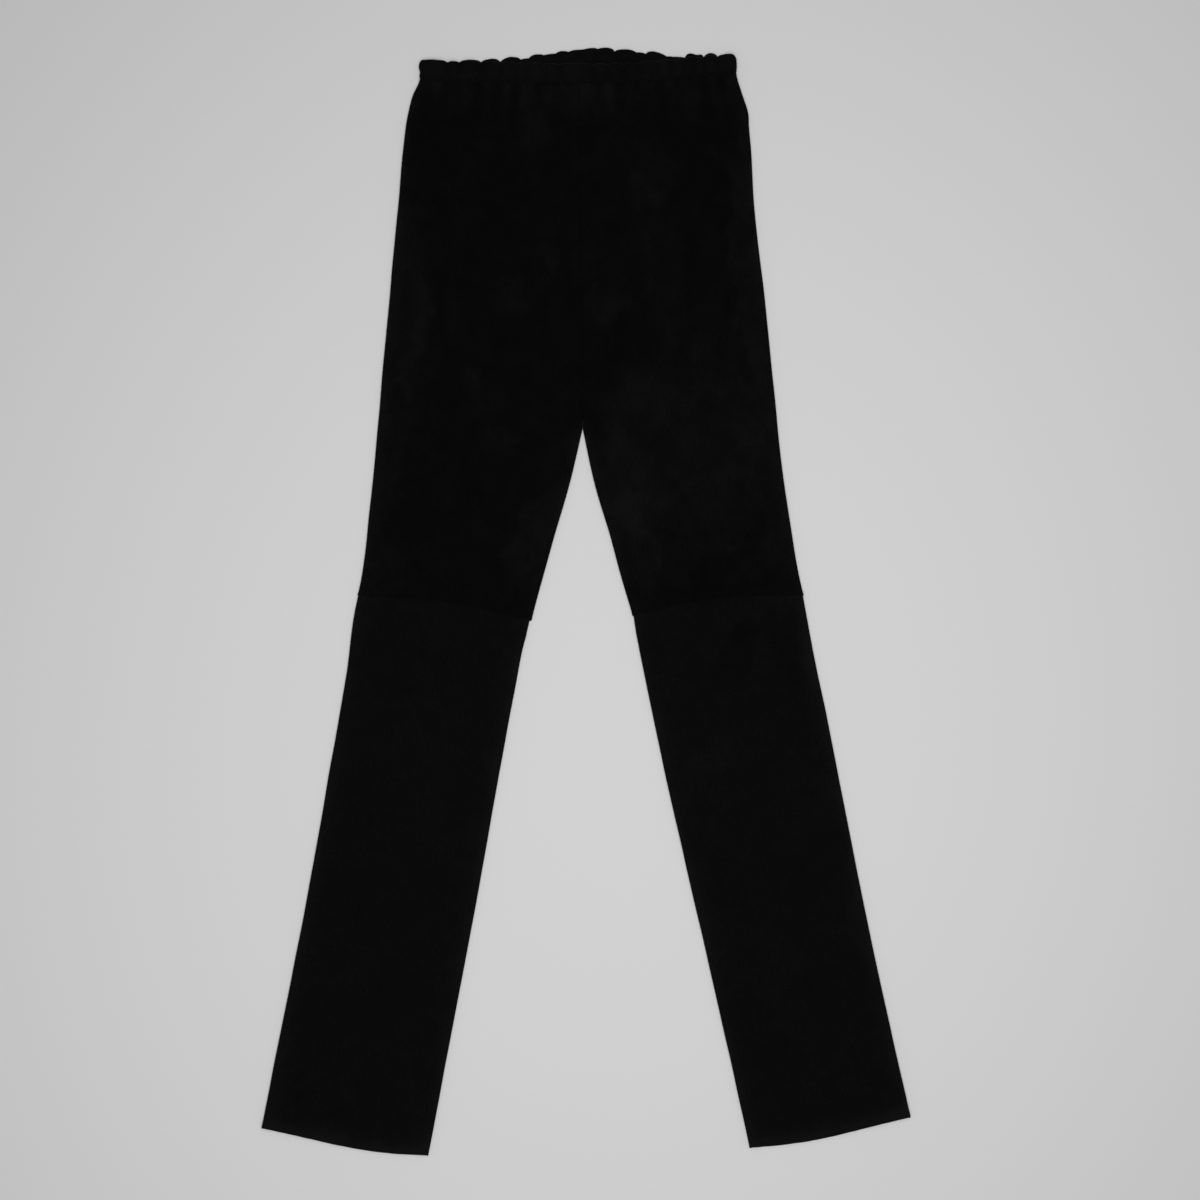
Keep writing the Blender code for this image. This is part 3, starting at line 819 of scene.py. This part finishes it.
        # rubbed wear and painted sheen along the rolled edges
        for wear_and_sheen in EDGE_WEAR_AND_SHEEN[self.half]:
            edges = bump(self.outer_at / wear_and_sheen.reach) + self.folded * bump(self.from_inner / wear_and_sheen.reach)
            tone = tone + wear_and_sheen.tone * edges * (EDGE_WEAR_AND_SHEEN_EVEN + uneven)
        if self.upper:
            yoke = YOKE_TONE * (YOKE_EVEN + waves(YOKE_WAVES, x, y))
            tone = tone + blotches(x, y) + yoke * (1 - smooth(self.down / YOKE_REACH))
            # painted shade in the pleats
            tone = tone + PLEAT_PAINTED_SHADE * pleats(x, y, self.face)
            # painted shade in the dip at the waist seam
            return tone + SEAM_PAINTED_SHADE * bump(self.down / SEAM_SHADE_REACH["panel"])
        hem = HEM_RUB.tone * bump(self.to_end / HEM_RUB.reach) * (HEM_RUB_EVEN + uneven)
        return tone + CALF_TONE + CUT_EDGE_TONE * bump(self.to_end / CUT_EDGE_REACH) + hem

    def grids(self):
        """Outer and inner points and the tone of the nap with its painted shade and sheen, as arrays
        of rows by columns.
        """
        x, y = self.place(self.outer_at)
        shift = self.end_shift(x, y)
        up = 1.0 if self.front else -1.0
        turns, rising = len(EDGE_TURNS), np.sin(EDGE_TURNS)
        thick = np.maximum(EDGE_HALF, self.curve["height"] / 2)
        high = thick - SEAM_GAP / 2
        dip = self.knee_relief(x)[:, :turns] if self.front else 0.0
        points = []
        skins = self.skins(x, y, thick)
        for at, skin, rise in zip((self.outer_at, self.inner_at), skins, (high, high - WALL)):
            # the rolled edges take over at both ends of each row
            roll = thick + up * (SEAM_GAP / 2 + rise * rising)
            skin[:, :turns] = roll + dip * rising
            skin[:, -turns:] += self.folded * (roll[:, ::-1] - skin[:, -turns:])
            skin_x, skin_y = self.place(at)
            points.append(np.stack([skin_x, skin_y + shift, skin], axis=-1))
        return *points, self.nap(x, y + shift)


# ---- the waistband
BAND_COLUMNS = 330
BAND_CROWDING = 0.15
BAND_ROUND = 1.5 * MM  # radius of the fold along the band's top
ROUND_LEAST = 0.02  # square of the share of its thickness that the fold's edge keeps
BAND_SHARES = np.concatenate([
    [0.0, 0.015, 0.035, 0.06, 0.09],
    np.linspace(0.115, 0.21, 7),
    np.linspace(0.23, 0.90, 17),
    np.linspace(0.915, 1.0, 9),
])
# Outline of the band's ends: share of the height, and how far in the end is there in millimetres
BandEnd = namedtuple("BandEnd", "share right left")
BAND_ENDS = table(
    BandEnd,
    (0.00, 0.5, 1.1),
    (0.15, 0.0, 0.95),
    (0.35, 0.7, 0.65),
    (0.55, -0.2, 0.7),
    (0.75, -0.5, 0.9),
    (0.90, 0.3, 1.3),
    (1.00, 2.0, 3.0),
)
BAND_END_REACH = 12 * MM  # how far along the band its ends' outline is still felt
BAND_RELIEF = 0.75 * MM
BAND_THICK = {"front": BAND_WALL - 0.2 * MM, "back": BAND_WALL - 0.35 * MM}
BAND_CREST = 3.1 * MM  # the back length's puckers reach up to here,
BAND_REST = BAND_EDGE + SEAM_GAP / 2  # and the front length's underside comes down to here
BACK_RELIEF = 0.5  # share of the relief that the back length has on each of its sides
END_WALL = (0.3 * MM, 2.9 * MM)  # the least and the most of the wall in the rolled ends
STITCH_LINE = 2.7 * MM  # above the waist seam
STITCH_DIP = 0.42 * MM  # how far the stitches pull the suede in
STITCH_REACH = 0.9 * MM
STITCH_HOLD = 0.5  # share of the relief that they press flat
BACK_DIP = 0.4 * MM
BACK_DIP_REACH = 0.6 * MM


def band_frame(face, x, share):
    """(Y of a point of the band, height above its seam, what is left above it, fullness)."""
    cut, fullness = pucker(x, face)
    frill = waves(BAND_FRILL, x, 0 * x, SEED[face])
    bottom = waist_seam(x, face) + SEAM_GAP / 2
    height = waist_top(x, face) - cut + frill * share - bottom
    return bottom + height * share, height * share, height * (1 - share), fullness


def band_puckers(face, x, up, fullness):
    """Relief of the gathered suede over the elastic."""
    seed = BAND_SEED[face]
    lean = x + (up - BAND_HEIGHT / 2) * waves(BAND_LEAN, x, 0 * up, seed)
    relief = BAND_RELIEF * (2 * fullness - 1) + waves(BAND_WAVES, lean, up, seed)
    stitched = bump((up - STITCH_LINE) / STITCH_REACH)
    pulls = waves(STITCH_PULLS, x, 0 * up, seed)
    return relief * (1 - STITCH_HOLD * stitched) + (pulls - STITCH_DIP) * stitched


def band_surface(face, x, share):
    """(y, z outside, z inside) of the band's middle at x and at a share of its height."""
    y, up, left, fullness = band_frame(face, x, share)
    near_top = np.clip(1 - left / BAND_ROUND, 0, 1)
    round_off = np.sqrt(np.clip(1 - np.square(near_top), ROUND_LEAST, 1))
    relief = band_puckers(face, x, up, fullness)
    if face == "front":
        bottom = BAND_WALL + SEAM_GAP
        thickness = BAND_THICK[face] + relief
        thickness += (WAIST_SEAM_TOP - bottom - thickness) * bump(up / WAIST_SEAM_REACH["band"])
        middle = bottom + thickness / 2
        low = np.maximum(middle - thickness / 2 * round_off, BAND_REST)
        return y, middle + thickness / 2 * round_off, low
    middle = (BAND_THICK[face] + BACK_RELIEF * relief) / 2
    lift = BACK_RELIEF * np.maximum(-relief, 0.0)
    lift += BACK_DIP * bump((up - STITCH_LINE) / BACK_DIP_REACH)
    low = np.maximum(middle * (1 - round_off), 0.0) + lift * round_off
    return y, low, np.minimum(middle * (1 + round_off), BAND_CREST)


def band_end(face, x, share, side, z, z_in):
    """Outer and inner points where the rows roll round to meet the other length of the band.

    x is the end's outline, side 1 on the right and -1 on the left, z and z_in the heights next to it.
    """
    up = 1.0 if face == "front" else -1.0
    base = BAND_EDGE + up * SEAM_GAP / 2
    high = np.abs(z - base)
    wall = np.clip(high - np.abs(z_in - base), *END_WALL)
    turns = EDGE_TURNS[None, :-1]
    out_x, in_x = (x + side * roll for roll in edge_roll(BAND_EDGE, wall, turns))
    out_z = base + up * high * np.sin(turns)
    in_z = base + (z_in - base) * np.sin(turns)
    return (
        np.stack([out_x, band_frame(face, out_x, share)[0], out_z], axis=-1),
        np.stack([in_x, band_frame(face, in_x, share)[0], in_z], axis=-1),
    )


def band_grids(face):
    """Outer and inner points and the tone of the nap with its painted shade and light, of one length
    of the band, bottom row first.
    """
    share = BAND_SHARES[:, None]
    shares = column(BAND_ENDS, "share")
    right_in = MM * hermite(shares, column(BAND_ENDS, "right"), share)
    left_in = MM * hermite(shares, column(BAND_ENDS, "left"), share)
    first, last = WAIST_RIGHT + BAND_EDGE, WAIST_LEFT - BAND_EDGE
    middle = (first + refined(BAND_COLUMNS, BAND_CROWDING) * (last - first))[None, :]
    x = middle + right_in * (1 - smooth((middle - first) / BAND_END_REACH))
    x = x - left_in * (1 - smooth((last - middle) / BAND_END_REACH))
    y, z, z_in = band_surface(face, x, share)
    _, above_seam, below_top, _ = band_frame(face, x, share)
    tone = BAND_TONE + waves(BAND_CLOUDS, x, y)
    # painted shade along the waist seam
    tone = tone + SEAM_PAINTED_SHADE * bump(above_seam / SEAM_SHADE_REACH["band"])
    # painted shade along the fold at the band's top
    tone = tone + FOLD_PAINTED_SHADE * bump(below_top / FOLD_SHADE_REACH)
    # painted light on the high puckers and painted shade on the low ones
    if face == "front":
        tone = tone + PUCKER_PAINTED_LIGHT_AND_SHADE * (z - z.mean())
    right = band_end(face, WAIST_RIGHT + right_in, share, 1.0, z[:, :1], z_in[:, :1])
    left = band_end(face, WAIST_LEFT - left_in, share, -1.0, z[:, -1:], z_in[:, -1:])
    flat = np.stack([x, y, z], axis=-1), np.stack([x, y, z_in], axis=-1)
    outer, inner = (
        np.concatenate([a, b, c[:, ::-1]], axis=1) for a, b, c in zip(right, flat, left)
    )
    turned = len(EDGE_TURNS) - 1
    return outer, inner, np.pad(tone, ((0, 0), (turned, turned)), mode="edge")


# ---- the stitches
STITCH_PITCH = 2.9 * MM
STITCH_LENGTH = 2.3 * MM
STITCH_RADIUS = 0.17 * MM
STITCH_SINK = 0.34 * MM  # how far a stitch's ends dive into the suede
STITCH_STAND = 0.1 * MM  # and how far its middle stands off it
STITCH_THINNING = 0.35  # how much thinner its ends are
STITCH_UNEVEN = 0.12 * MM
STITCH_MARGIN = 1.0 * MM  # from the band's rolled ends
STITCH_SIDES = 6
STITCH_STEPS = np.linspace(-0.5, 0.5, 7)


def stitch_points(face):
    """Rings of points round every stitch of the casing: stitches by steps by sides."""
    margin = BAND_EDGE + STITCH_MARGIN
    centres = np.arange(WAIST_RIGHT + margin, WAIST_LEFT - margin, STITCH_PITCH)
    uneven = STITCH_UNEVEN * np.random.default_rng(97).uniform(-1, 1, (2, len(centres), 1))
    x = centres[:, None] + uneven[0] + STITCH_LENGTH * STITCH_STEPS[None, :]
    height = band_frame(face, x, 1.0)[1]
    y, z, _ = band_surface(face, x, (STITCH_LINE + uneven[1]) / height)
    outward = 1.0 if face == "front" else -1.0
    to_ends = (2 * STITCH_STEPS) ** 4
    z = z + outward * (STITCH_STAND - STITCH_SINK * to_ends)
    turn = np.linspace(0, 2 * np.pi, STITCH_SIDES, endpoint=False)
    thin = STITCH_RADIUS * (1 - STITCH_THINNING * to_ends)[None, :, None]
    ring_y = y[..., None] + thin * np.cos(turn)
    ring_z = z[..., None] + thin * np.sin(turn)
    return np.stack([x[..., None] + 0 * ring_y, ring_y, ring_z], axis=-1)


def stitch_mesh(face):
    """One mesh of all the stitches along the lower edge of the casing."""
    points = stitch_points(face)
    stitches, steps, sides = points.shape[:3]
    index = np.arange(stitches * steps * sides).reshape(stitches, steps, sides)
    near, far = index[:, :-1], index[:, 1:]
    walls = np.stack([near, np.roll(near, -1, 2), np.roll(far, -1, 2), far], axis=-1)
    faces = walls.reshape(-1, 4).tolist() + index[:, 0, ::-1].tolist() + index[:, -1].tolist()
    mesh = bpy.data.meshes.new(f"waistband_{face}_stitches")
    mesh.from_pydata(points.reshape(-1, 3).tolist(), [], faces)
    mesh.shade_smooth()
    return mesh


# ---- the meshes
SHARP_ANGLE = math.radians(50)


def shell_mesh(name, outer, inner, tone):
    """A closed shell between two grids, with the tone of the nap and its painted shade as a point
    attribute.
    """
    rows, columns = outer.shape[:2]
    points = np.concatenate([outer.reshape(-1, 3), inner.reshape(-1, 3)])
    index = np.arange(rows * columns).reshape(rows, columns)
    quads = np.stack([index[:-1, :-1], index[:-1, 1:], index[1:, 1:], index[1:, :-1]], axis=-1)
    quads = quads.reshape(-1, 4)
    rim = np.concatenate([index[0, :], index[1:, -1], index[-1, -2::-1], index[-2:0:-1, 0]])
    after = np.roll(rim, -1)
    below = rows * columns
    faces = np.concatenate([
        quads,
        quads[:, ::-1] + below,
        np.stack([after, rim, rim + below, after + below], axis=-1),
    ])
    mesh = bpy.data.meshes.new(name)
    mesh.from_pydata(points.tolist(), [], faces.tolist())
    shell = bmesh.new()
    shell.from_mesh(mesh)
    bmesh.ops.recalc_face_normals(shell, faces=shell.faces)
    shell.to_mesh(mesh)
    shell.free()
    mesh.shade_smooth()
    mesh.set_sharp_from_angle(angle=SHARP_ANGLE)
    attribute = mesh.attributes.new("nap", "FLOAT", "POINT")
    attribute.data.foreach_set("value", np.tile(tone.reshape(-1), 2).astype(np.float32))
    return mesh


def add_to_scene(name, data, place=(0, 0, 0)):
    """A new object for a mesh, a lamp or the camera."""
    made = bpy.data.objects.new(name, data)
    made.location = place
    bpy.context.scene.collection.objects.link(made)
    return made


def add_object(name, mesh, material):
    mesh.materials.append(material)
    return add_to_scene(name, mesh)


# ---- the materials
def node(tree, kind, **settings):
    """A new node with these inputs and settings."""
    made = tree.nodes.new(kind)
    for key, value in settings.items():
        if key in made.inputs:
            made.inputs[key].default_value = value
        else:
            setattr(made, key, value)
    return made


def noise(tree, place, scale, detail, roughness=0.5, distortion=0.0):
    """Noise at a scale, or at three of them along the axes."""
    if isinstance(scale, tuple):
        mapping = node(tree, "ShaderNodeMapping", Scale=scale)
        tree.links.new(place, mapping.inputs["Vector"])
        place, scale = mapping.outputs["Vector"], 1.0
    made = node(tree, "ShaderNodeTexNoise", Scale=scale, Detail=detail, Roughness=roughness,
                Distortion=distortion)
    tree.links.new(place, made.inputs["Vector"])
    return made.outputs["Fac"]


def math_node(tree, operation, first, second):
    """The result of first and second, which are numbers or sockets."""
    made = node(tree, "ShaderNodeMath", operation=operation)
    for socket, value in zip(made.inputs, (first, second)):
        if isinstance(value, (int, float)):
            socket.default_value = value
        else:
            tree.links.new(value, socket)
    return made.outputs[0]


def weighted_sum(tree, start, terms):
    """start plus each value's distance from its middle times its weight."""
    total = start
    for value, middle, weight in terms:
        part = math_node(tree, "MULTIPLY", math_node(tree, "SUBTRACT", value, middle), weight)
        total = math_node(tree, "ADD", part, total)
    return total


def ramp(tree, value, tones):
    """The colour that a value has among tones, which are pairs of a value and a colour."""
    made = node(tree, "ShaderNodeValToRGB")
    elements = made.color_ramp.elements
    for position, _ in tones[1:-1]:
        elements.new(position)
    for element, (position, colour) in zip(elements, tones):
        element.position = position
        element.color = (*colour, 1.0)
    tree.links.new(value, made.inputs["Fac"])
    return made.outputs["Color"]


def raised(tree, height, strength, distance):
    """The surface's normal where its height is this much uneven."""
    made = node(tree, "ShaderNodeBump", Strength=strength, Distance=distance)
    tree.links.new(height, made.inputs["Height"])
    return made.outputs["Normal"]


def new_material(name, finish):
    """(A material with this finish, its node tree, the place of a point on the object)."""
    material = bpy.data.materials.new(name)
    material.use_nodes = True
    tree = material.node_tree
    shader = tree.nodes["Principled BSDF"]
    for key, value in finish.items():
        shader.inputs[key].default_value = value
    return material, tree, node(tree, "ShaderNodeTexCoord").outputs["Object"]


def feed(tree, **sockets):
    """Links sockets to the shader's inputs of these names."""
    for key, socket in sockets.items():
        tree.links.new(socket, tree.nodes["Principled BSDF"].inputs[key.replace("_", " ")])


SUEDE_TONES = [
    (0.0, (0.0012, 0.0012, 0.0012)),
    (0.5, (0.0026, 0.0026, 0.0026)),
    (1.0, (0.0060, 0.0060, 0.0060)),
]
SUEDE_FINISH = {
    "Specular IOR Level": 0.04,
    "Sheen Weight": 0.13,
    "Sheen Roughness": 0.36,
    "Sheen Tint": (0.85, 0.86, 0.92, 1.0),
}
THREAD_TONES = [(0.0, (0.0008, 0.0008, 0.0009)), (1.0, (0.0032, 0.0032, 0.0034))]
THREAD_FINISH = {"Roughness": 0.6, "Specular IOR Level": 0.12}
FLOOR_FINISH = {
    "Base Color": (0.80, 0.795, 0.80, 1.0),
    "Roughness": 0.85,
    "Specular IOR Level": 0.1,
}


def suede_material():
    """Napped suede: soft brushed patches, finer streaks along the leg, and a felted surface."""
    material, tree, place = new_material("black_suede", SUEDE_FINISH)
    patches = noise(tree, place, 19.0, detail=3.0, roughness=0.55, distortion=0.6)
    clouds = noise(tree, place, 70.0, detail=4.0, roughness=0.6, distortion=0.3)
    streaks = noise(tree, place, (520.0, 90.0, 300.0), detail=3.0, roughness=0.6)
    felt = noise(tree, place, 1500.0, detail=4.0, roughness=0.7)
    pebble = noise(tree, place, 420.0, detail=3.0, roughness=0.6)
    # the nap's tone, with the painted shade, light and sheen that the pieces carry in it
    nap = node(tree, "ShaderNodeAttribute", attribute_name="nap").outputs["Fac"]
    uneven = [(patches, 0.5, 0.22), (clouds, 0.5, 0.20), (streaks, 0.5, 0.35), (felt, 0.5, 2.2)]
    tone = weighted_sum(tree, 0.25, [*uneven, (nap, 0.0, 0.17)])
    rough = weighted_sum(tree, 0.93, [(clouds, 0.5, -0.12), (felt, 0.5, -0.10)])
    height = weighted_sum(tree, 0.0, [(felt, 0.5, 0.7), (pebble, 0.5, 1.0), (streaks, 0.5, 0.35)])
    normal = raised(tree, height, strength=0.75, distance=0.22 * MM)
    feed(tree, Base_Color=ramp(tree, tone, SUEDE_TONES), Roughness=rough, Normal=normal)
    return material


def thread_material():
    """Black polyester thread: two plies twisted round each other, slightly smoother than suede."""
    material, tree, place = new_material("black_thread", THREAD_FINISH)
    wave = node(tree, "ShaderNodeTexWave", Scale=1400.0, Distortion=1.0)
    tree.links.new(place, wave.inputs["Vector"])
    twist = wave.outputs["Fac"]
    normal = raised(tree, twist, strength=0.5, distance=0.1 * MM)
    feed(tree, Base_Color=ramp(tree, twist, THREAD_TONES), Normal=normal)
    return material


# ---- putting it together
def panel_area(name):
    """Flat area of a panel's cut, measured on its solid's two skins."""
    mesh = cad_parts[name].data
    return sum(polygon.area for polygon in mesh.polygons) / 2


def panel_size(name, half, side):
    """Width and length of a panel's cut: an upper's as it lies, a lower's along the leg."""
    if half == "upper":
        low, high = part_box(name)
        return high.x - low.x, high.y - low.y
    rows = PANEL_SECTIONS[half, side]
    widths = [math.dist((row.side_x, row.side_y), (row.inner_x, row.inner_y)) for row in rows]
    return max(widths), section_distances(rows)[-1]


def add_suede(name, grids, material, **sheet):
    """A piece of the cut in place of its solid. The front pieces rest on the back ones."""
    piece = add_object(f"{name}_suede", shell_mesh(f"{name}_suede", *grids), material)
    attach(piece, "root")
    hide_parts(name)


def add_panels(material):
    for side in ("right", "left"):
        for half in ("upper", "lower"):
            for face in ("front", "back"):
                name = f"{half}_{face}_{side}"
                flat, area = panel_size(name, half, side), panel_area(name)
                grids = Panel(face, side, half).grids()
                add_suede(name, grids, material, flat=flat, held="laid", area=area)


def add_bands(material, thread):
    for face in ("front", "back"):
        name = f"waistband_{face}"
        add_suede(name, band_grids(face), material, flat=(BAND_CUT, BAND_HEIGHT), held="gathered")
        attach(add_object(f"{name}_stitches", stitch_mesh(face), thread), "root")


FLOOR_HALF = 6.0
FLOOR_TOP = -0.2 * MM


def add_floor():
    mesh = bpy.data.meshes.new("floor")
    low, high, top = -FLOOR_HALF, FLOOR_HALF, FLOOR_TOP
    corners = [(low, low, top), (high, low, top), (high, high, top), (low, high, top)]
    mesh.from_pydata(corners, [], [(0, 1, 2, 3)])
    add_object("floor", mesh, new_material("pale_floor", FLOOR_FINISH)[0])


STUDIO_COLOUR = (0.97, 0.97, 0.98, 1.0)
STUDIO_LIGHT = 0.218
# Round soft lights that point straight down: place and energy
LAMPS = {
    "light_over_waist": ((0.16, 0.45, 1.60), 7.7),
    "light_over_hems": ((-0.015, -0.45, 1.60), 11.4),
}
LAMP_SIZE = 1.1


def add_studio():
    scene = bpy.context.scene
    scene.view_settings.view_transform = "Standard"
    world = bpy.data.worlds.new("studio")
    world.use_nodes = True
    background = world.node_tree.nodes["Background"]
    background.inputs["Color"].default_value = STUDIO_COLOUR
    background.inputs["Strength"].default_value = STUDIO_LIGHT
    scene.world = world
    for name, (place, energy) in LAMPS.items():
        light = bpy.data.lights.new(name, "AREA")
        light.shape = "DISK"
        light.size = LAMP_SIZE
        light.energy = energy
        add_to_scene(name, light, place)


CAMERA_HEIGHT = 1.55
CAMERA_ASIDE = (0.013, 0.0016)
LENS = 50.0
SENSOR = 36.0


def add_camera():
    """Straight above, a little to the wearer's left of the garment's middle."""
    camera = bpy.data.cameras.new("camera")
    camera.lens = LENS
    camera.sensor_width = SENSOR
    middle = (CAD_LOW + CAD_HIGH) / 2
    place = (middle.x + CAMERA_ASIDE[0], middle.y + CAMERA_ASIDE[1], CAMERA_HEIGHT)
    bpy.context.scene.camera = add_to_scene("camera", camera, place)


suede = suede_material()
add_panels(suede)
add_bands(suede, thread_material())
add_floor()
add_studio()
add_camera()
